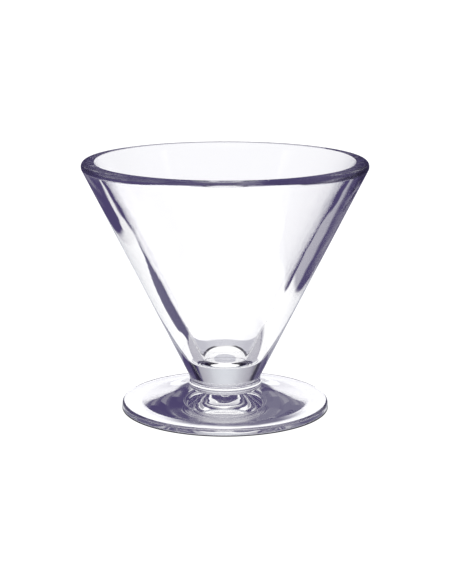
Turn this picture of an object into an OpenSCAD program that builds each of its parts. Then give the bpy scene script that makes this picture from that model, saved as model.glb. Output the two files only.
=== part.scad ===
// Parfait glass: a footed dessert glass with a deep conical bowl.
// Four gathers of clear glass, each formed on its own and fused to the next on a flat round seat:
// foot, collar, neck and bowl. Millimetres, +Z up, the foot rests on z = 0.

/* [Bowl] */
// Outside diameter across the rim
rim_d = 110; // [100:0.5:120]
// Width of the wall across the top of the rim
rim_w = 4.8; // [3.6:0.1:6]
// Height of the upright band under the rim
band_h = 3.7; // [2:0.1:6]
// Height of the bowl above its seat on the neck
bowl_h = 80.9; // [70:0.1:90]
// Solid glass between the seat and the floor of the cavity
floor_t = 3; // [2:0.1:6]
// Diameter at which the straight wall of the cavity would reach the floor
cavity_base_d = 16.4; // [14:0.1:19]
// Rounding between the floor and the wall of the cavity
cavity_round = 7; // [5:0.1:9]
// Length of the easing on the outer edge of the rim
rim_ease = 0.9; // [0.5:0.05:1.4]
// Length of the easing on the inner edge of the rim
mouth_ease = 0.55; // [0.4:0.05:1]

/* [Neck] */
// Height of the neck between its two seats
neck_h = 6.1; // [5:0.1:8]
// Diameter of the seat between neck and bowl
neck_top_d = 32; // [30:0.1:34]
// Diameter of the seat between neck and collar
neck_seat_d = 25; // [23.5:0.1:26]
// Height of the straight root above the lower seat
neck_root_h = 0.1; // [0.1:0.05:0.5]
// Rounding of the lower edge above the root
neck_round = 1.6; // [1.4:0.05:2.2]
// How far the lower edge stands out from the line of the cone
neck_bulge = 0.22; // [0.1:0.02:0.5]

/* [Collar] */
// Height of the collar
collar_h = 2.4; // [1.8:0.05:3.2]
// Diameter of the collar at its widest line
collar_d = 28.6; // [27.6:0.1:30]

/* [Foot] */
// Diameter of the foot
foot_d = 81; // [74:0.5:90]
// Height of the foot at its hub
foot_h = 8; // [6:0.1:11]
// Diameter of the flat hub that carries the collar
hub_d = 27.8; // [26.8:0.1:30]
// Diameter at which the flare of the foot meets its flat flange
flange_d = 66; // [62:0.5:70]
// Thickness of the flat flange
foot_edge_t = 2.6; // [2:0.1:3.6]
// Length of the easing on the upper edge
foot_top_ease = 0.7; // [0.4:0.05:0.9]
// Length of the easing on the lower edge
foot_low_ease = 0.6; // [0.4:0.05:0.8]

/* [Hidden] */
$fn = 180;

// Overrun that takes every cut clear of the face it opens
overrun = 1;
// How far the centre of an easing lies past a tangent one
ease_share = 1.15;
// Distance from the centre of the cavity rounding to wall and floor, as a share of its radius
rounding_share = 0.995;
// Radius of the collar's bead as a share of half its height
bead_share = 1.04;
// Slope of the flare where it meets the flange, as a share of its mean slope
toe_share = 0.57;
// Steps of a full turn of the flare's large circle
flare_steps = 720;

// Heights of the seats, stacked from the table
collar_z = foot_h;
neck_z = collar_z + collar_h;
bowl_z = neck_z + neck_h;

// Bowl
rim_r = rim_d / 2;
mouth_r = rim_r - rim_w;
neck_top_r = neck_top_d / 2;
cone_h = bowl_h - band_h;
cone_slope = (rim_r - neck_top_r) / cone_h;
cavity_base_r = cavity_base_d / 2;
cavity_lean = atan((mouth_r - cavity_base_r) / (bowl_h - floor_t));
round_gap = rounding_share * cavity_round;
round_z = floor_t + round_gap;
round_r = cavity_base_r + round_gap * tan(cavity_lean) - round_gap / cos(cavity_lean);
wall_low_z = round_z - cavity_round * sin(cavity_lean);
wall_low_r = cavity_base_r + (wall_low_z - floor_t) * tan(cavity_lean);
flare_r = mouth_r + overrun * tan(cavity_lean);

// Neck
neck_seat_r = neck_seat_d / 2;
neck_low_h = neck_root_h + neck_round;
neck_cone_r = neck_top_r - cone_slope * (neck_h - neck_low_h);
neck_low_r = neck_cone_r + neck_bulge;

// Collar
bead_r = bead_share * collar_h / 2;
bead_centre_r = collar_d / 2 - bead_r;

// Foot
foot_r = foot_d / 2;
hub_r = hub_d / 2;
flange_r = flange_d / 2;
flare_run = flange_r - hub_r;
flare_rise = foot_h - foot_edge_t;
flare_mean = atan(flare_rise / flare_run);
flare_toe = toe_share * flare_mean;
flare_top = 2 * flare_mean - flare_toe;
flare_round = flare_run / (sin(flare_top) - sin(flare_toe));
flare_centre_r = flange_r + flare_round * sin(flare_toe);
flare_centre_z = foot_edge_t + flare_round * cos(flare_toe);

// Cut that eases an edge at the origin, with glass to the right of a wall leaning by lean, and below
module easing(length, lean) {
    reach = ease_share * length;
    depth = reach * tan(45 + lean / 2);
    drop = reach * cos(lean);
    difference() {
        translate([-reach - overrun, -drop])
            square([2 * reach + overrun, drop + overrun]);
        translate([reach, -depth])
            circle(r = norm([reach - length, depth]));
    }
}

// Half section of the space inside the bowl, measured from the seat
module cavity_section() {
    polygon([
        [0, wall_low_z],
        [wall_low_r, wall_low_z],
        [mouth_r, bowl_h],
        [flare_r, bowl_h + overrun],
        [0, bowl_h + overrun]
    ]);
    intersection() {
        union() {
            translate([round_r, round_z])
                circle(r = cavity_round);
            square([round_r, round_z]);
        }
        translate([0, floor_t])
            square([rim_r, bowl_h]);
    }
}

module bowl_section() {
    difference() {
        polygon([
            [0, 0],
            [neck_top_r, 0],
            [rim_r, cone_h],
            [rim_r, bowl_h],
            [0, bowl_h]
        ]);
        cavity_section();
        translate([mouth_r, bowl_h])
            easing(mouth_ease, cavity_lean);
        translate([rim_r, bowl_h])
            mirror([1, 0])
                easing(rim_ease, 0);
    }
}

module neck_section() {
    square([neck_seat_r, neck_h]);
    translate([neck_low_r - neck_round, neck_low_h])
        circle(r = neck_round);
    polygon([
        [0, neck_low_h],
        [neck_cone_r, neck_low_h],
        [neck_top_r, neck_h],
        [0, neck_h]
    ]);
}

module collar_section() {
    intersection() {
        union() {
            square([bead_centre_r, collar_h]);
            translate([bead_centre_r, collar_h / 2])
                circle(r = bead_r);
        }
        square([collar_d, collar_h]);
    }
}

module foot_section() {
    difference() {
        square([foot_r, foot_edge_t]);
        translate([foot_r, foot_edge_t])
            mirror([1, 0])
                easing(foot_top_ease, 0);
        translate([foot_r, 0])
            mirror([1, 0])
                mirror([0, 1])
                    easing(foot_low_ease, 0);
    }
    difference() {
        square([flange_r, foot_h]);
        translate([flare_centre_r, flare_centre_z])
            circle(r = flare_round, $fn = flare_steps);
    }
}

module bowl() {
    color([0.88, 0.9, 0.95])
        translate([0, 0, bowl_z])
            rotate_extrude()
                bowl_section();
}

module neck() {
    color([0.78, 0.8, 0.9])
        translate([0, 0, neck_z])
            rotate_extrude()
                neck_section();
}

module collar() {
    color([0.68, 0.7, 0.84])
        translate([0, 0, collar_z])
            rotate_extrude()
                collar_section();
}

module foot() {
    color([0.82, 0.85, 0.93])
        rotate_extrude()
            foot_section();
}

bowl();
neck();
collar();
foot();
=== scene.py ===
# %% [markdown]
# A parfait glass is a dessert glass that is nothing but clear glass: a deep cone for the ice cream,
# a short solid neck, a bead of glass round the joint and a wide flared foot.
# The packed solids load first and stay as they are: they give the heights at which the pieces meet.
# Sections are drawn in millimetres and made in metres, and each piece sits where its solid is.

# %% Load the solids
import math
from types import SimpleNamespace

import bpy
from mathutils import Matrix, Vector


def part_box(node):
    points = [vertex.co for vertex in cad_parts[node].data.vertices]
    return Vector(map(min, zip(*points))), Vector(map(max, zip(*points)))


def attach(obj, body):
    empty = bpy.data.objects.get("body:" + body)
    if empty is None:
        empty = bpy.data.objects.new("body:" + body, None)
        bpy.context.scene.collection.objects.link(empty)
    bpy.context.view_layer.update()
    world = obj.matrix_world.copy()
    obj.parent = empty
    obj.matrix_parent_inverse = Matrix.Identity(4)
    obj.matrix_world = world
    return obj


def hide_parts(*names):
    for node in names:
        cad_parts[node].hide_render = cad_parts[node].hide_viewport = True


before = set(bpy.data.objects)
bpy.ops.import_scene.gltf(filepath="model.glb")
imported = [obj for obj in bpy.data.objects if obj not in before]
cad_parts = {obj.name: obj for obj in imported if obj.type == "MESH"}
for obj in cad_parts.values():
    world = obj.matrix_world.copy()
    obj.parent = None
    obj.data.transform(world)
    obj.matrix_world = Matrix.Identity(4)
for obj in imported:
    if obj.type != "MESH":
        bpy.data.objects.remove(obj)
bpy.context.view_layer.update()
scene = bpy.context.scene
MM = 0.001
print("solids:", sorted(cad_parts))

# %% [markdown]
# The camera comes first, because clear glass only shows what lies around it as seen from one place.
# The photograph was taken from a little above the rim, with a long lens and no tilt to the side.
# The long side of the picture is 584 pixels, and the fitted lens is 1613 pixels long,
# so a 36 mm sensor along that side gives the lens in millimetres.

# %% Camera
SENSOR = 36
PICTURE_TALL = 584
LENS_IN_PIXELS = 1613
CAMERA_PLACE = (0.00036, -0.612, 0.186)
LOOK_DOWN = 12.92

camera_data = bpy.data.cameras.new("camera")
camera_data.sensor_fit = "AUTO"
camera_data.sensor_width = SENSOR
camera_data.lens = SENSOR * LENS_IN_PIXELS / PICTURE_TALL
camera = bpy.data.objects.new("camera", camera_data)
camera.location = CAMERA_PLACE
camera.rotation_euler = (math.radians(90 - LOOK_DOWN), 0, 0)
scene.collection.objects.link(camera)
scene.camera = camera
print("lens in mm:", round(camera_data.lens, 2))

# %% [markdown]
# Glass needs many bounces: a ray can run along inside the thick wall before it gets out.
# The plain Standard view keeps white paper white.

# %% Light paths and view
BOUNCES = 32
for limit in ("max_bounces", "transmission_bounces", "glossy_bounces", "transparent_max_bounces"):
    setattr(scene.cycles, limit, BOUNCES)
scene.view_settings.view_transform = "Standard"
print("bounces:", scene.cycles.max_bounces)

# %% [markdown]
# A recipe holds the nodes of one material, with a few short calls that add to them.
# The nodes could be added one by one, but then the order of the sums would be hard to read.
# node adds a node and sets its plain values, maths is one sum, mixed blends two colours,
# and surface gives the material its shader.

# %% Recipe for a material
class Recipe:
    def __init__(self, name):
        self.material = bpy.data.materials.new(name)
        self.material.use_nodes = True
        self.tree = self.material.node_tree
        self.tree.nodes.clear()

    def node(self, kind, links=(), **values):
        made = self.tree.nodes.new(kind)
        for key, value in values.items():
            if hasattr(made, key):
                setattr(made, key, value)
            else:
                made.inputs[key.replace("_", " ")].default_value = value
        for socket, source in dict(links).items():
            self.tree.links.new(source, made.inputs[socket])
        return made

    def maths(self, operation, first, second=0.0):
        made = self.node("ShaderNodeMath", {0: first}, operation=operation)
        if isinstance(second, (int, float)):
            made.inputs[1].default_value = second
        else:
            self.tree.links.new(second, made.inputs[1])
        return made.outputs[0]

    def mixed(self, factor, low, high):
        made = self.node("ShaderNodeMix", {"Factor": factor}, data_type="RGBA")
        for socket, value in (("A", low), ("B", high)):
            if isinstance(value, tuple):
                made.inputs[socket].default_value = value
            else:
                self.tree.links.new(value, made.inputs[socket])
        return made.outputs["Result"]

    def surface(self, shader):
        self.node("ShaderNodeOutputMaterial", {"Surface": shader.outputs[0]})
        return self.material


print("recipe calls:", [name for name in vars(Recipe) if not name.startswith("_")])

# %% [markdown]
# The stage needs conditions as well, such as beside the glass and less than 60 mm away.
# A condition here is a number from 0 to 1. rise is a soft step between two values,
# down if the first is larger, and between is a step up and a step down.
# product means and, larger means or, absent means not, and chosen takes one of two numbers by a condition.
# The edges in the stage are soft steps, because a hard edge seen through glass looks cut out.

# %% Conditions
class StageRecipe(Recipe):
    def rise(self, value, step):
        start, end = step
        up = start < end
        made = self.node("ShaderNodeMapRange", {"Value": value}, interpolation_type="SMOOTHSTEP",
                         From_Min=min(step), From_Max=max(step),
                         To_Min=0.0 if up else 1.0, To_Max=1.0 if up else 0.0)
        return made.outputs[0]

    def between(self, value, opens, closes):
        return self.product(self.rise(value, opens), self.rise(value, closes))

    def product(self, first, *others):
        for other in others:
            first = self.maths("MULTIPLY", first, other)
        return first

    def larger(self, first, *others):
        for other in others:
            first = self.maths("MAXIMUM", first, other)
        return first

    def absent(self, condition):
        return self.rise(condition, (1, 0))

    def chosen(self, condition, without, with_it):
        return self.node("ShaderNodeMix", {0: condition, 2: without, 3: with_it}).outputs[0]

    def glow(self, colour):
        return self.surface(self.node("ShaderNodeEmission", {"Color": colour}))


print("conditions:", [name for name in vars(StageRecipe) if not name.startswith("_")])

# %% [markdown]
# Every patch of the stage is given by where it lies as seen from the middle of the glass:
# its angle to the side, from 0 straight behind or before the glass to 90 beside it, its height angle,
# its distance along the table, and whether it lies to the left or the right, before or behind.
# reach is a distance measured on a slant. wide and long are the distances from the two axes of the table,
# the smaller one first, so what is drawn with them repeats on all four sides.
# Most of the stage is folded front to back, so the glass looks much alike from before and behind.
# The light path adds how a ray came there. It is direct if it met no glass,
# and mirrored if glass turned it back: deep after three times, lost after eight,
# and outside if it never went into the glass.
# It is cupped if it went through four faces or more, as a ray through both walls of the bowl does.

# %% Bearings
DEGREES = 180 / math.pi
LEFT_TO_RIGHT = (-0.01, 0.01)
BACK_TO_FRONT = (0.01, -0.01)
REACH_SLANT = 0.253
ONE_TIME = 0.5
THREE_TIMES = 2.5
EIGHT_TIMES = 7.5
ONE_FACE = 0.5
FOUR_FACES = 3.5


def bearings(recipe):
    place = recipe.node("ShaderNodeNewGeometry").outputs["Position"]
    xyz = recipe.node("ShaderNodeSeparateXYZ", {"Vector": place})
    x, y, z = (xyz.outputs[axis] for axis in "XYZ")
    flat = recipe.node("ShaderNodeCombineXYZ", {"X": x, "Y": y}).outputs[0]
    far = recipe.node("ShaderNodeVectorMath", {0: flat}, operation="LENGTH").outputs["Value"]
    across = recipe.maths("ABSOLUTE", x)
    along = recipe.maths("ABSOLUTE", y)
    reach = recipe.maths("ADD", across, recipe.maths("MULTIPLY", along, REACH_SLANT))
    path = recipe.node("ShaderNodeLightPath").outputs
    mirrors = path["Glossy Depth"]
    faces = path["Transmission Depth"]
    mirrored = recipe.maths("GREATER_THAN", mirrors, ONE_TIME)

    def in_mm(length):
        return recipe.maths("DIVIDE", length, MM)

    def in_degrees(rise, run):
        return recipe.maths("MULTIPLY", recipe.maths("ARCTAN2", rise, run), DEGREES)

    return SimpleNamespace(
        side=in_degrees(across, along),
        height=in_degrees(z, far),
        far=in_mm(far),
        across=in_mm(across),
        reach=in_mm(reach),
        wide=in_mm(recipe.maths("MINIMUM", across, along)),
        long=in_mm(recipe.maths("MAXIMUM", across, along)),
        right=recipe.rise(x, LEFT_TO_RIGHT),
        front=recipe.rise(y, BACK_TO_FRONT),
        direct=path["Is Camera Ray"],
        mirrored=mirrored,
        deep=recipe.maths("GREATER_THAN", mirrors, THREE_TIMES),
        lost=recipe.maths("GREATER_THAN", mirrors, EIGHT_TIMES),
        outside=recipe.product(mirrored, recipe.maths("LESS_THAN", faces, ONE_FACE)),
        cupped=recipe.maths("GREATER_THAN", faces, FOUR_FACES))


print("deep from mirror", math.ceil(THREE_TIMES), "and cupped from face", math.ceil(FOUR_FACES))

# %% [markdown]
# The stage has few colours: whites of a lit table, and greys and darks with a little violet,
# which is the colour of the dark lines in the photograph.
# Glass takes a few per cent of the light at each face,
# so white paper behind it has to glow a little more than white.

# %% Colours of the stage
TABLE_GLOW = 1.18
WHITE = (TABLE_GLOW, TABLE_GLOW, TABLE_GLOW, 1)
BRIGHT = (1.5, 1.5, 1.52, 1)
ONE_WALL = (1.045, 1.045, 1.07, 1)
TWO_WALLS = (1.17, 1.17, 1.19, 1)
PALE = (0.70, 0.72, 0.77, 1)
SHADE = (0.62, 0.62, 0.68, 1)
LILAC = (0.55, 0.54, 0.6, 1)
GREY = (0.46, 0.45, 0.5, 1)
MAUVE = (0.20, 0.19, 0.27, 1)
DARK = (0.075, 0.06, 0.15, 1)
BLACK = (0.01, 0.008, 0.016, 1)
print("table glow:", TABLE_GLOW)

# %% [markdown]
# The table is a white sheet that glows a little, as lit paper does, so it needs no lamp.
# Seen through one wall or two it stays white, and it is brighter close to the foot and to the sides.
# Steps along the table are in millimetres from the axis, and steps to the side are in degrees.

# %% Table seen through the glass
NEAR_FOOT = (62, 45)
LEFT_PAST_BACK = (10, 28)
RIGHT_PAST_BACK = (60, 64)

paper = StageRecipe("white_table")
at = bearings(paper)
to_left = paper.rise(at.side, LEFT_PAST_BACK)
to_right = paper.rise(at.side, RIGHT_PAST_BACK)
to_the_side = paper.chosen(at.right, to_left, to_right)
bright = paper.larger(paper.rise(at.far, NEAR_FOOT), to_the_side)
plain = paper.mixed(bright, paper.mixed(at.cupped, ONE_WALL, TWO_WALLS), BRIGHT)
print("nodes for the plain table:", len(paper.tree.nodes))

# %% [markdown]
# The thick floor of the bowl works as a lens. It throws a soft shade on the table round the foot,
# and in the middle of that shade a bright spot with a dark outline and a small grey disc.
# A lamp shining through the glass could draw them,
# but such light takes very many samples to lose its grain.
# So the spot is drawn on the table as two ovals, which the glass then bends as it bends everything else.
# The size of an oval is half its width, the place of its middle and half its length, in millimetres.

# %% Spot under the bowl
SHADE_CURVE = 0.032
SHADE_END = (95, 91)
SPOT_SIZE = (20.5, 30, 53)
SPOT_OUTLINE = (0.66, 0.80)
SPOT_END = (1.20, 1.10)
OUTLINE_SIDES = (2, 15)
OUTLINE_LEAST = 0.35
CAP = 0.2
CAP_SIDES = (14, 6)
DISC_SIZE = (6.5, 22, 13)
DISC_END = (1.1, 0.9)


def oval(recipe, wide, long, size):
    half_wide, middle, half_long = size
    first = recipe.maths("DIVIDE", wide, half_wide)
    second = recipe.maths("DIVIDE", recipe.maths("SUBTRACT", long, middle), half_long)
    return recipe.maths("ADD", recipe.product(first, first), recipe.product(second, second))


bow = paper.maths("MULTIPLY", paper.product(at.wide, at.wide), SHADE_CURVE)
shadow = paper.rise(paper.maths("ADD", at.long, bow), SHADE_END)
spot = oval(paper, at.wide, at.long, SPOT_SIZE)
outline_sides = paper.maths("MAXIMUM", paper.rise(at.wide, OUTLINE_SIDES), OUTLINE_LEAST)
outline = paper.product(paper.rise(spot, SPOT_OUTLINE), outline_sides)
capped = paper.maths("ADD", spot, paper.maths("MULTIPLY", paper.rise(at.wide, CAP_SIDES), CAP))
disc = paper.rise(oval(paper, at.wide, at.long, DISC_SIZE), DISC_END)
lens = paper.mixed(disc, paper.mixed(outline, WHITE, BLACK), SHADE)
shaded = paper.mixed(paper.rise(capped, SPOT_END), paper.mixed(shadow, plain, SHADE), lens)
print("spot is", 2 * SPOT_SIZE[0], "mm wide")

# %% [markdown]
# Three marks of painted shade lie under the foot and past it, and are seen through fewer faces than the
# spot:
# a lilac line past its edge, a dark ring of painted shade under the neck, and a fringe under the front of
# the foot.
# The fringe goes further round on the right than on the left.

# %% Shade under the foot
BACK_LINE_FAR = (44, 52), (130, 70)
BACK_LINE_SIDE = (34, 14)
FRINGE_LEFT_FAR = (35.5, 32)
FRINGE_LEFT_SIDE = (55, 20)
FRINGE_RIGHT_FAR = (36, 33.5)
FRINGE_RIGHT_SIDE = (72, 36)
FRINGE_FROM = (24, 29)
NECK_SHADE_FAR = (11, 14), (20, 17)

single = paper.absent(at.cupped)
back_line = paper.product(paper.between(at.far, *BACK_LINE_FAR),
                          paper.rise(at.side, BACK_LINE_SIDE), single)
fringe_left = paper.product(paper.rise(at.far, FRINGE_LEFT_FAR), paper.rise(at.side, FRINGE_LEFT_SIDE))
fringe_right = paper.product(paper.rise(at.far, FRINGE_RIGHT_FAR), paper.rise(at.side, FRINGE_RIGHT_SIDE))
fringe_either = paper.chosen(at.right, fringe_left, fringe_right)
fringe = paper.product(fringe_either, at.front, paper.rise(at.far, FRINGE_FROM))
# Painted shade: a dark ring on the table under the neck, seen through the foot.
neck_shade_ring = paper.between(at.far, *NECK_SHADE_FAR)
under_foot = paper.product(paper.larger(neck_shade_ring, fringe), single)
floor = paper.mixed(under_foot, paper.mixed(back_line, plain, LILAC), MAUVE)
through = paper.mixed(paper.product(at.cupped, shadow), floor, shaded)
print("nodes so far:", len(paper.tree.nodes))

# %% [markdown]
# Rays that are mirrored inside the wall meet a table painted dark with painted shade,
# and draw the dark bands that show the shape of the glass. White paper is left between the shaded parts.
# The edges of the paper are wavy curves, because the lines in a worked wall are never straight.
# Each curve is a short list of points, a distance from the axis in millimetres and an angle to the side.

# %% Paper edges
EDGE_REACH = 300
SIDE_RANGE = 90
LEFT_EDGE = ((40, 72), (50, 64), (62, 52), (80, 47), (95, 55), (107, 63),
             (132, 57.5), (163, 51), (300, 47))
RIGHT_EDGE = ((40, 76), (60, 74), (80, 66), (105, 62.5), (126, 59), (140, 56.5),
              (158, 51), (300, 47))
EDGE_SOFT = (1.5, -1.5)


def within_edge(recipe, side, far, points):
    share = recipe.maths("DIVIDE", far, EDGE_REACH)
    curve = recipe.node("ShaderNodeFloatCurve", {"Value": share})
    line = curve.mapping.curves[0]
    places = [(distance / EDGE_REACH, bearing / SIDE_RANGE) for distance, bearing in points]
    line.points[0].location = places[0]
    line.points[1].location = places[-1]
    for place in places[1:-1]:
        line.points.new(*place)
    curve.mapping.update()
    edge = recipe.maths("MULTIPLY", curve.outputs[0], SIDE_RANGE)
    return recipe.rise(recipe.maths("SUBTRACT", side, edge), EDGE_SOFT)


within_left = within_edge(paper, at.side, at.far, LEFT_EDGE)
within_right = within_edge(paper, at.side, at.far, RIGHT_EDGE)
print("points on the paper edges:", len(LEFT_EDGE), len(RIGHT_EDGE))

# %% [markdown]
# Now the paper that a mirrored ray meets. On the left it is one sheet with a slanted cut,
# and on the right a sheet with a slanted cut and a patch close to the glass.
# Under the foot it carries on as a tongue, a ring of half strength and a dot in the middle.
# A thin strip right past the edge of the foot stays dark, as painted shade.

# %% Paper seen in the wall
LEFT_CUT_SIDE = (43, 47)
LEFT_CUT_REACH = (136, 128)
RIGHT_PATCH_REACH = (76, 72)
RIGHT_CUT_SIDE = (36, 44)
RIGHT_CUT_REACH = (90, 84)
CLEAR_OF_FOOT = (40, 48)
UNDER_FOOT = (48, 40)
TONGUE_SIDE = (40, 25)
TONGUE_FROM = (16, 20)
TONGUE_ROOT = (9, 6)
RING_FROM = (17, 22)
RING_SHARE = 0.5
DOT_END = (11.5, 10)
DARK_STRIP_FAR = (41.5, 43), (53, 50)
DARK_STRIP_SIDE = (16, 12)

left_cut = paper.larger(paper.rise(at.side, LEFT_CUT_SIDE), paper.rise(at.reach, LEFT_CUT_REACH))
beside_left = paper.product(within_left, left_cut)
right_sheets = paper.larger(within_right, paper.rise(at.reach, RIGHT_PATCH_REACH))
right_cut = paper.larger(paper.rise(at.side, RIGHT_CUT_SIDE), paper.rise(at.reach, RIGHT_CUT_REACH))
beside_right = paper.product(right_sheets, right_cut)
beside_either = paper.chosen(at.right, beside_left, beside_right)
sheets = paper.product(beside_either, paper.rise(at.far, CLEAR_OF_FOOT))
tongue_root = paper.larger(paper.rise(at.far, TONGUE_FROM), paper.rise(at.across, TONGUE_ROOT))
tongue = paper.product(paper.rise(at.far, UNDER_FOOT), paper.rise(at.side, TONGUE_SIDE), tongue_root)
ring = paper.product(paper.between(at.far, RING_FROM, UNDER_FOOT), at.cupped)
half_ring = paper.maths("MULTIPLY", ring, RING_SHARE)
beneath = paper.larger(tongue, half_ring, paper.rise(at.far, DOT_END))
# Painted shade: a thin dark strip on the table past the edge of the foot.
dark_strip = paper.product(paper.between(at.far, *DARK_STRIP_FAR), paper.rise(at.side, DARK_STRIP_SIDE))
beside = paper.product(paper.larger(sheets, beneath), paper.absent(dark_strip))
print("nodes so far:", len(paper.tree.nodes))

# %% [markdown]
# A deep ray meets a different table, painted with light and shade: a small white patch before and behind
# the glass, painted dusk close behind it, and painted dark elsewhere. That gives the foot its dark and
# mottled zones.
# A ray that was mirrored by the outside of the glass meets pale paper near the glass and painted shade
# past it.

# %% Paper seen deep in the glass
DEEP_PATCH_SIDE = (16, 11)
DEEP_PATCH_FAR = (95, 105), (145, 135)
DUSK_FAR = (60, 54)
DUSK_MIDDLE = (9, 4)
BLACK_RING_FAR = (10, 11.5), (20, 16)
BLACK_RING_SIDES = (6, 9)
GLANCE_LEFT = (118, 112)
GLANCE_RIGHT = (80, 74)
LILAC_REACH = (84, 90)

deep_spot = paper.product(paper.rise(at.side, DEEP_PATCH_SIDE), paper.between(at.far, *DEEP_PATCH_FAR))
deep_patch = paper.product(deep_spot, paper.absent(at.lost))
inner_light = paper.chosen(at.deep, beside, deep_patch)
glance_left = paper.rise(at.across, GLANCE_LEFT)
glance_right = paper.rise(at.across, GLANCE_RIGHT)
outer_light = paper.chosen(at.right, glance_left, glance_right)
# Painted shade: a black ring near the axis, where a mirrored ray meets no paper.
black_ring = paper.product(paper.between(at.far, *BLACK_RING_FAR), paper.rise(at.across, BLACK_RING_SIDES))
dusk = paper.product(at.deep, paper.absent(at.front), paper.rise(at.far, DUSK_FAR))
dusk_colour = paper.mixed(paper.rise(at.side, DUSK_MIDDLE), paper.mixed(at.right, MAUVE, DARK), GREY)
dim = paper.mixed(dusk, paper.mixed(black_ring, DARK, BLACK), dusk_colour)
lilac_part = paper.product(at.right, paper.rise(at.reach, LILAC_REACH))
lit = paper.mixed(at.outside, paper.mixed(lilac_part, WHITE, LILAC), PALE)
# Where no paper is lit, a mirrored ray meets the painted shade of dim.
in_mirror = paper.mixed(paper.chosen(at.outside, inner_light, outer_light), dim, lit)
print("nodes so far:", len(paper.tree.nodes))

# %% [markdown]
# Last, the table itself. The camera sees it plain white, with a thin dark line of painted contact shadow
# where the foot touches it.
# It lies a fifth of a millimetre under the foot, so that there is air between glass and table.

# %% White table
CONTACT_SHADOW = (40.9, 40.3)
TABLE_HALF = 8
TABLE_Z = -0.0002

# Painted contact shadow: a thin black ring round the edge of the foot.
contact_shadow = paper.mixed(paper.rise(at.far, CONTACT_SHADOW), WHITE, BLACK)
past_glass = paper.mixed(at.mirrored, through, in_mirror)
white_table = paper.glow(paper.mixed(at.direct, past_glass, contact_shadow))


def staged(name, corners, faces, material):
    mesh = bpy.data.meshes.new(name)
    mesh.from_pydata(corners, [], faces)
    mesh.materials.append(material)
    made = bpy.data.objects.new(name, mesh)
    scene.collection.objects.link(made)
    return made


square = ((-1, -1), (1, -1), (1, 1), (-1, 1))
table_corners = [(x * TABLE_HALF, y * TABLE_HALF, TABLE_Z) for x, y in square]
staged("table", table_corners, [(0, 1, 2, 3)], white_table)
print("table nodes:", len(paper.tree.nodes))

# %% [markdown]
# The room is a dome that the camera sees only through the glass and in it, dark and a little violet.
# Before and behind the glass the paper sweeps up as a pale backdrop, and soft lights stand to the sides.
# Only rays that went into the glass and were mirrored twice at most meet the backdrop and the lights.
# For rays that were not mirrored, the corners beside the backdrop are black.

# %% Room
BACKDROP_SIDE = (32, 28)
BACKDROP_SIDE_LEFT = (43, 27)
BACKDROP_TOP = (42, 24)
BACKDROP_FADE = (0, 32)
LAMP_SIDE = (58, 62), (82, 78)
LAMP_HEIGHT = (36, 39), (50, 47)
CORNER_SIDE = (32, 36), (62, 52)
CORNER_TOP = (42, 32)

dome = StageRecipe("dark_room")
at = bearings(dome)
left = dome.absent(at.right)
straight = dome.absent(at.mirrored)
shallow = dome.product(dome.absent(at.outside), dome.absent(at.deep))
backdrop_left = dome.product(dome.rise(at.side, BACKDROP_SIDE_LEFT), left, straight)
backdrop_side = dome.larger(dome.rise(at.side, BACKDROP_SIDE), backdrop_left)
backdrop = dome.product(backdrop_side, dome.rise(at.height, BACKDROP_TOP), shallow)
backdrop_colour = dome.mixed(dome.rise(at.side, BACKDROP_FADE), PALE, GREY)
lamp = dome.product(dome.between(at.side, *LAMP_SIDE), dome.between(at.height, *LAMP_HEIGHT), shallow)
corner = dome.product(dome.between(at.side, *CORNER_SIDE), dome.rise(at.height, CORNER_TOP), straight)
corner_walls = dome.mixed(corner, DARK, BLACK)
print("nodes for the near room:", len(dome.tree.nodes))

# %% [markdown]
# A deep ray meets a softer room: mauve to the left, grey low down in front,
# a tall strip before and behind the glass, and a ceiling that is white in front and grey at the back.
# They show as grey streaks and light rings in the foot.

# %% Room seen deep in the glass
OPEN_LEFT_SIDE = (22, 30)
OPEN_LEFT_TOP = (48, 44)
OPEN_LEFT_PAST = (58, 64)
OPEN_FRONT_SIDE = (33, 43)
OPEN_FRONT_TOP = (34, 28)
OPEN_FRONT_SHARE = 0.6
STRIP_BACK = (30, 12)
STRIP_FRONT = (18, 10)
STRIP_TOP = (60, 56)
STRIP_FADE = (28, 38)
CEILING_FROM = (70, 84)

open_left_part = dome.larger(dome.rise(at.height, OPEN_LEFT_TOP), dome.rise(at.side, OPEN_LEFT_PAST))
open_left = dome.product(dome.rise(at.side, OPEN_LEFT_SIDE), left, at.deep, open_left_part)
open_front_part = dome.product(dome.rise(at.side, OPEN_FRONT_SIDE), dome.rise(at.height, OPEN_FRONT_TOP))
open_front = dome.product(open_front_part, at.front, at.deep)
walls = dome.mixed(open_left, corner_walls, MAUVE)
walls = dome.mixed(dome.maths("MULTIPLY", open_front, OPEN_FRONT_SHARE), walls, GREY)
strip_side = dome.chosen(at.front, dome.rise(at.side, STRIP_BACK), dome.rise(at.side, STRIP_FRONT))
strip = dome.product(strip_side, dome.rise(at.height, STRIP_TOP), at.deep, dome.absent(at.lost))
strip_colour = dome.mixed(dome.rise(at.height, STRIP_FADE), GREY, WHITE)
ceiling = dome.product(dome.rise(at.height, CEILING_FROM), at.deep)
ceiling_colour = dome.mixed(at.front, GREY, WHITE)
backed = dome.mixed(backdrop, dome.mixed(strip, walls, strip_colour), backdrop_colour)
roofed = dome.mixed(ceiling, backed, ceiling_colour)
dark_room = dome.glow(dome.mixed(lamp, roofed, WHITE))
print("room nodes:", len(dome.tree.nodes))

# %% [markdown]
# The dome is a half ball of rings with one corner on top.
# The camera itself doesn't see it, so the picture keeps its white ground.

# %% Dome
ROOM_R = 3.0
TURNS = 96
TIERS = 24


def dome_corner(tier, turn):
    height = math.pi / 2 * tier / TIERS
    bearing = 2 * math.pi * turn / TURNS
    ring = ROOM_R * math.cos(height)
    return (ring * math.cos(bearing), ring * math.sin(bearing), ROOM_R * math.sin(height))


def dome_index(tier, turn):
    return tier * TURNS + turn % TURNS


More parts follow.
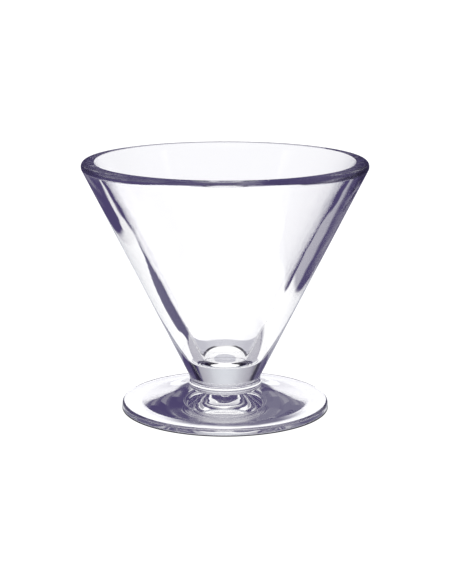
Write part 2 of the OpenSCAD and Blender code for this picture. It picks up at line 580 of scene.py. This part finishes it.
dome_corners = [dome_corner(tier, turn) for tier in range(TIERS) for turn in range(TURNS)]
dome_corners.append((0, 0, ROOM_R))
dome_faces = [(dome_index(tier, turn), dome_index(tier, turn + 1),
               dome_index(tier + 1, turn + 1), dome_index(tier + 1, turn))
              for tier in range(TIERS - 1) for turn in range(TURNS)]
dome_faces += [(dome_index(TIERS - 1, turn), dome_index(TIERS - 1, turn + 1), TIERS * TURNS)
               for turn in range(TURNS)]
room = staged("room", dome_corners, dome_faces, dark_room)
room.visible_camera = False
print("room radius in m:", ROOM_R)

# %% [markdown]
# Past the table and the dome there is only white.
# The photograph's view ends on the table, so this white shows only in views from lower down.

# %% White surround
surround = bpy.data.worlds.new("white_surround")
surround.use_nodes = True
surround.node_tree.nodes["Background"].inputs["Color"].default_value = WHITE
scene.world = surround
print("surround:", surround.name)

# %% [markdown]
# The whole object is clear pressed glass, with an index of about 1.52.
# Its skin was fire-polished: it flows in low waves about a centimetre long,
# which make the lines in the walls waver.
# Where hands and cloths have been, the gloss is a trace softer.
# Both come from noise in the object's own space, so they need no unwrapped mesh.

# %% Clear glass
GLASS_INDEX = 1.52
WAVE_SCALE = 90.0
WAVE_HEIGHT = 0.06 * MM
SMEAR_SCALE = 140.0
SMEAR_FROM = 0.45
SMEAR_TO = 0.75
SOFTEST_GLOSS = 0.012

skin = Recipe("clear_glass")
place = skin.node("ShaderNodeTexCoord").outputs["Object"]
waves = skin.node("ShaderNodeTexNoise", {"Vector": place}, Scale=WAVE_SCALE, Detail=0.8, Roughness=0.5)
swell = skin.node("ShaderNodeBump", {"Height": waves.outputs["Fac"]}, Strength=1.0, Distance=WAVE_HEIGHT)
smears = skin.node("ShaderNodeTexNoise", {"Vector": place}, Scale=SMEAR_SCALE, Detail=3.0, Roughness=0.6)
gloss = skin.node("ShaderNodeMapRange", {"Value": smears.outputs["Fac"]},
                  From_Min=SMEAR_FROM, From_Max=SMEAR_TO, To_Min=0.0, To_Max=SOFTEST_GLOSS)
glass = skin.node("ShaderNodeBsdfPrincipled", {"Normal": swell.outputs[0], "Roughness": gloss.outputs[0]},
                  Base_Color=(1, 1, 1, 1), IOR=GLASS_INDEX, Transmission_Weight=1.0)
clear_glass = skin.surface(glass)
print("index of the glass:", round(glass.inputs["IOR"].default_value, 2))

# %% [markdown]
# Where two pieces are fused there is no air between them, so a ray goes straight on.
# Each piece still is a closed body, and its seat gets a finish that lets light through unbent.

# %% Fused seats
seat = Recipe("fused_seat")
unbent = seat.node("ShaderNodeBsdfPrincipled", Base_Color=(1, 1, 1, 1), Roughness=0.0, Alpha=0.0)
fused_seat = seat.surface(unbent)
print("seat alpha:", unbent.inputs["Alpha"].default_value)

# %% [markdown]
# Every piece is turned round the axis of the glass, so one helper makes them all.
# It takes a half section as points (radius, height) in millimetres,
# from the axis round the outside and back to the axis.
# Round stretches are arcs. Long straight stretches get an extra ring close to each end,
# because smooth shading would otherwise bend the light along the whole stretch.

# %% Half sections
END_HOLD = 0.04
SHORT_STRETCH = 1.0
SAME_POINT = 0.002


def arc(centre_r, centre_z, radius, start, end, steps):
    turns = [math.radians(start + (end - start) * k / steps) for k in range(steps + 1)]
    return [(centre_r + radius * math.cos(t), centre_z + radius * math.sin(t)) for t in turns]


def without_repeats(section):
    return section[:1] + [b for a, b in zip(section, section[1:]) if math.dist(a, b) > SAME_POINT]


def held_ends(section):
    held = section[:1]
    for a, b in zip(section, section[1:]):
        length = math.dist(a, b)
        if length > SHORT_STRETCH:
            for along in (END_HOLD / length, 1 - END_HOLD / length):
                held.append((a[0] + (b[0] - a[0]) * along, a[1] + (b[1] - a[1]) * along))
        held.append(b)
    return held


print("rings are held", END_HOLD, "mm from the ends")

# %% [markdown]
# Turning makes one ring of corners for each point of the section, and one band of faces between two rings.
# A point on the axis is a single corner, so the bands there are triangles and the mesh is closed.
# Stretches of the section that lie on a seat, within its radius, take the finish of a fused seat.

# %% Rings and bands
TURN_STEPS = 288
TINY = 1e-6


def rings_of(section):
    corners, rings = [], []
    for r, z in section:
        if r < TINY:
            rings.append([len(corners)] * TURN_STEPS)
            corners.append((0, 0, z * MM))
            continue
        rings.append([len(corners) + k for k in range(TURN_STEPS)])
        for k in range(TURN_STEPS):
            turn = 2 * math.pi * k / TURN_STEPS
            corners.append((r * MM * math.cos(turn), r * MM * math.sin(turn), z * MM))
    return corners, rings


def band_faces(low, high):
    faces = []
    for k in range(TURN_STEPS):
        following = (k + 1) % TURN_STEPS
        loop = [low[k], low[following], high[following], high[k]]
        faces.append([v for j, v in enumerate(loop) if v not in loop[:j]])
    return faces


def on_seat(a, b, seats):
    for r, z in seats:
        level = abs(a[1] - z) < TINY and abs(b[1] - z) < TINY
        if level and max(a[0], b[0]) < r + TINY:
            return True
    return False


print("corners in a ring:", TURN_STEPS)

# %% [markdown]
# A turned piece is shaded smooth except at edges sharper than 25 degrees.
# It rides on the one body that the part has and stands for the solid of the same name.

# %% Turning
SHARP_EDGE = 25


def turned(name, section, seats):
    section = held_ends(without_repeats(section))
    corners, rings = rings_of(section)
    faces, finish = [], []
    for low, high, a, b in zip(rings, rings[1:], section, section[1:]):
        band = band_faces(low, high)
        faces += band
        finish += [int(on_seat(a, b, seats))] * len(band)
    mesh = bpy.data.meshes.new(name)
    mesh.from_pydata(corners, [], faces)
    mesh.polygons.foreach_set("use_smooth", [True] * len(faces))
    mesh.polygons.foreach_set("material_index", finish)
    mesh.update()
    mesh.set_sharp_from_angle(angle=math.radians(SHARP_EDGE))
    mesh.materials.append(clear_glass)
    mesh.materials.append(fused_seat)
    piece = bpy.data.objects.new(name + "_glass", mesh)
    scene.collection.objects.link(piece)
    piece.visible_shadow = False
    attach(piece, "root")
    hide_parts(name)
    print(name, "corners:", len(corners), "faces:", len(faces))


print("edges stay sharp from", SHARP_EDGE, "degrees")

# %% [markdown]
# The heights of the seats come from the solids, so the pieces meet where the solids meet.
# The radii of the three seats are given here, because two pieces share each of them.

# %% Seats
HUB_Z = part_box("foot")[1].z / MM
COLLAR_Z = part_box("collar")[1].z / MM
NECK_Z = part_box("neck")[1].z / MM
RIM_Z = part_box("bowl")[1].z / MM
COLLAR_SEAT_R = 13.39
NECK_SEAT_R = 12.5
BOWL_SEAT_R = 16.0
print("seats at", [round(z, 2) for z in (HUB_Z, COLLAR_Z, NECK_Z, RIM_Z)])

# %% [markdown]
# The foot is a flat round disc whose top rises in a hollow flare to a small hub, where the collar sits.
# It could be a cylinder with a cone on it, but then the flare would show a hard line round the foot.
# So its half section is drawn from arcs: an eased edge, a flat flange, a small rounding
# and one large hollow arc.
# The flare starts at a little over half of its mean slope,
# so its radius follows from its run and its climb.

# %% Foot
FOOT_R = 40.5
HUB_R = 13.9
FLANGE_R = 33.0
EDGE_T = 2.6
LOW_EASE = 0.6
TOP_EASE = 1.0
TOE_SHARE = 0.57
TOE_ROUND = 6.0
TOE_GAP = 0.4

flare_run = FLANGE_R - HUB_R
mean_slope = math.degrees(math.atan((HUB_Z - EDGE_T) / flare_run))
toe = TOE_SHARE * mean_slope
top = 2 * mean_slope - toe
flare = flare_run / (math.sin(math.radians(top)) - math.sin(math.radians(toe)))
flare_r = FLANGE_R + flare * math.sin(math.radians(toe))
flare_z = EDGE_T + flare * math.cos(math.radians(toe))
toe_r = FLANGE_R + TOE_ROUND * math.tan(math.radians(toe) / 2)
section = [(0, 0)]
section += arc(FOOT_R - LOW_EASE, LOW_EASE, LOW_EASE, -90, 0, steps=8)
section += arc(FOOT_R - TOP_EASE, EDGE_T - TOP_EASE, TOP_EASE, 0, 90, steps=10)
section += arc(toe_r, EDGE_T + TOE_ROUND, TOE_ROUND, -90, -90 - toe, steps=8)
section += arc(flare_r, flare_z, flare, -90 - toe - TOE_GAP, -90 - top, steps=60)
section += [(COLLAR_SEAT_R, HUB_Z), (0, HUB_Z)]
turned("foot", section, [(COLLAR_SEAT_R, HUB_Z)])

# %% [markdown]
# The collar is a thin bead of glass round the joint of foot and neck.
# Its side is one arc with a radius a little over half its height, so it bulges between its two seats
# and meets them at an edge, as a bead does that was pressed flat between two pieces.

# %% Collar
COLLAR_R = 14.3
BEAD_SHARE = 1.04
SEAT_SLACK = 0.01

half = (COLLAR_Z - HUB_Z) / 2
bead = BEAD_SHARE * half
sweep = math.degrees(math.asin(half / bead))
section = [(0, HUB_Z)]
section += arc(COLLAR_R - bead, HUB_Z + half, bead, -sweep, sweep, steps=20)
section += [(NECK_SEAT_R, COLLAR_Z), (0, COLLAR_Z)]
turned("collar", section, [(COLLAR_SEAT_R + SEAT_SLACK, HUB_Z), (NECK_SEAT_R, COLLAR_Z)])

# %% [markdown]
# The neck is a short solid plug. Its side carries on the line of the bowl
# and tucks in under a rounded lower edge.
# The slope is that of the solid bowl, whose upright band is a little taller than the one drawn here.
# The rounding has to end where it meets the cone, so that angle is worked out and not guessed.

# %% Neck
RIM_R = 55.0
CONE_BAND = 3.7
NECK_ROOT = 0.1
NECK_ROUND = 1.6
NECK_BULGE = 0.22

cone_slope = (RIM_R - BOWL_SEAT_R) / (RIM_Z - CONE_BAND - NECK_Z)
low_z = COLLAR_Z + NECK_ROOT + NECK_ROUND
cone_r = BOWL_SEAT_R - cone_slope * (NECK_Z - low_z)
centre_r = cone_r + NECK_BULGE - NECK_ROUND
lean = math.atan(cone_slope)
gap = (cone_r - centre_r) * math.cos(lean)
meet = math.degrees(math.acos(gap / NECK_ROUND) - lean)
start = -math.degrees(math.acos((NECK_SEAT_R - centre_r) / NECK_ROUND))
section = [(0, COLLAR_Z), (NECK_SEAT_R, COLLAR_Z)]
section += arc(centre_r, low_z, NECK_ROUND, start, meet, steps=24)
section += [(BOWL_SEAT_R, NECK_Z), (0, NECK_Z)]
turned("neck", section, [(NECK_SEAT_R, COLLAR_Z), (BOWL_SEAT_R, NECK_Z)])

# %% [markdown]
# The bowl is a thick cone with an upright band under a rounded rim, and a hollow with a small round floor.
# A shell of even thickness would be quicker, but this wall grows towards the floor,
# so both faces are drawn.
# The rim is as round as it looks in the photograph: that makes it dark all the way round.

# %% Bowl
RIM_W = 4.8
RIM_ROUND = 1.8
MOUTH_ROUND = 0.9
BAND_H = 2.5
BAND_ROUND = 2.0
FLOOR_T = 3.0
FLOOR_ROUND = 7.0
CAVITY_BASE_R = 8.2

outer = math.atan((RIM_R - BOWL_SEAT_R) / (RIM_Z - BAND_H - NECK_Z))
band_z = RIM_Z - BAND_H + BAND_ROUND * math.tan(outer / 2)
floor_z = NECK_Z + FLOOR_T
mouth_r = RIM_R - RIM_W
inner = math.atan((mouth_r - CAVITY_BASE_R) / (RIM_Z - floor_z))
mouth_round_r = mouth_r + MOUTH_ROUND * math.tan((math.pi / 2 - inner) / 2)
floor_round_r = CAVITY_BASE_R + FLOOR_ROUND * math.tan(inner) - FLOOR_ROUND / math.cos(inner)
section = [(0, NECK_Z), (BOWL_SEAT_R, NECK_Z)]
section += arc(RIM_R - BAND_ROUND, band_z, BAND_ROUND, -math.degrees(outer), 0, steps=8)
section += arc(RIM_R - RIM_ROUND, RIM_Z - RIM_ROUND, RIM_ROUND, 0, 90, steps=14)
section += arc(mouth_round_r, RIM_Z - MOUTH_ROUND, MOUTH_ROUND, 90, 180 - math.degrees(inner), steps=10)
section += arc(floor_round_r, floor_z + FLOOR_ROUND, FLOOR_ROUND, -math.degrees(inner), -90, steps=30)
section += [(0, floor_z)]
turned("bowl", section, [(BOWL_SEAT_R, NECK_Z)])

# %% [markdown]
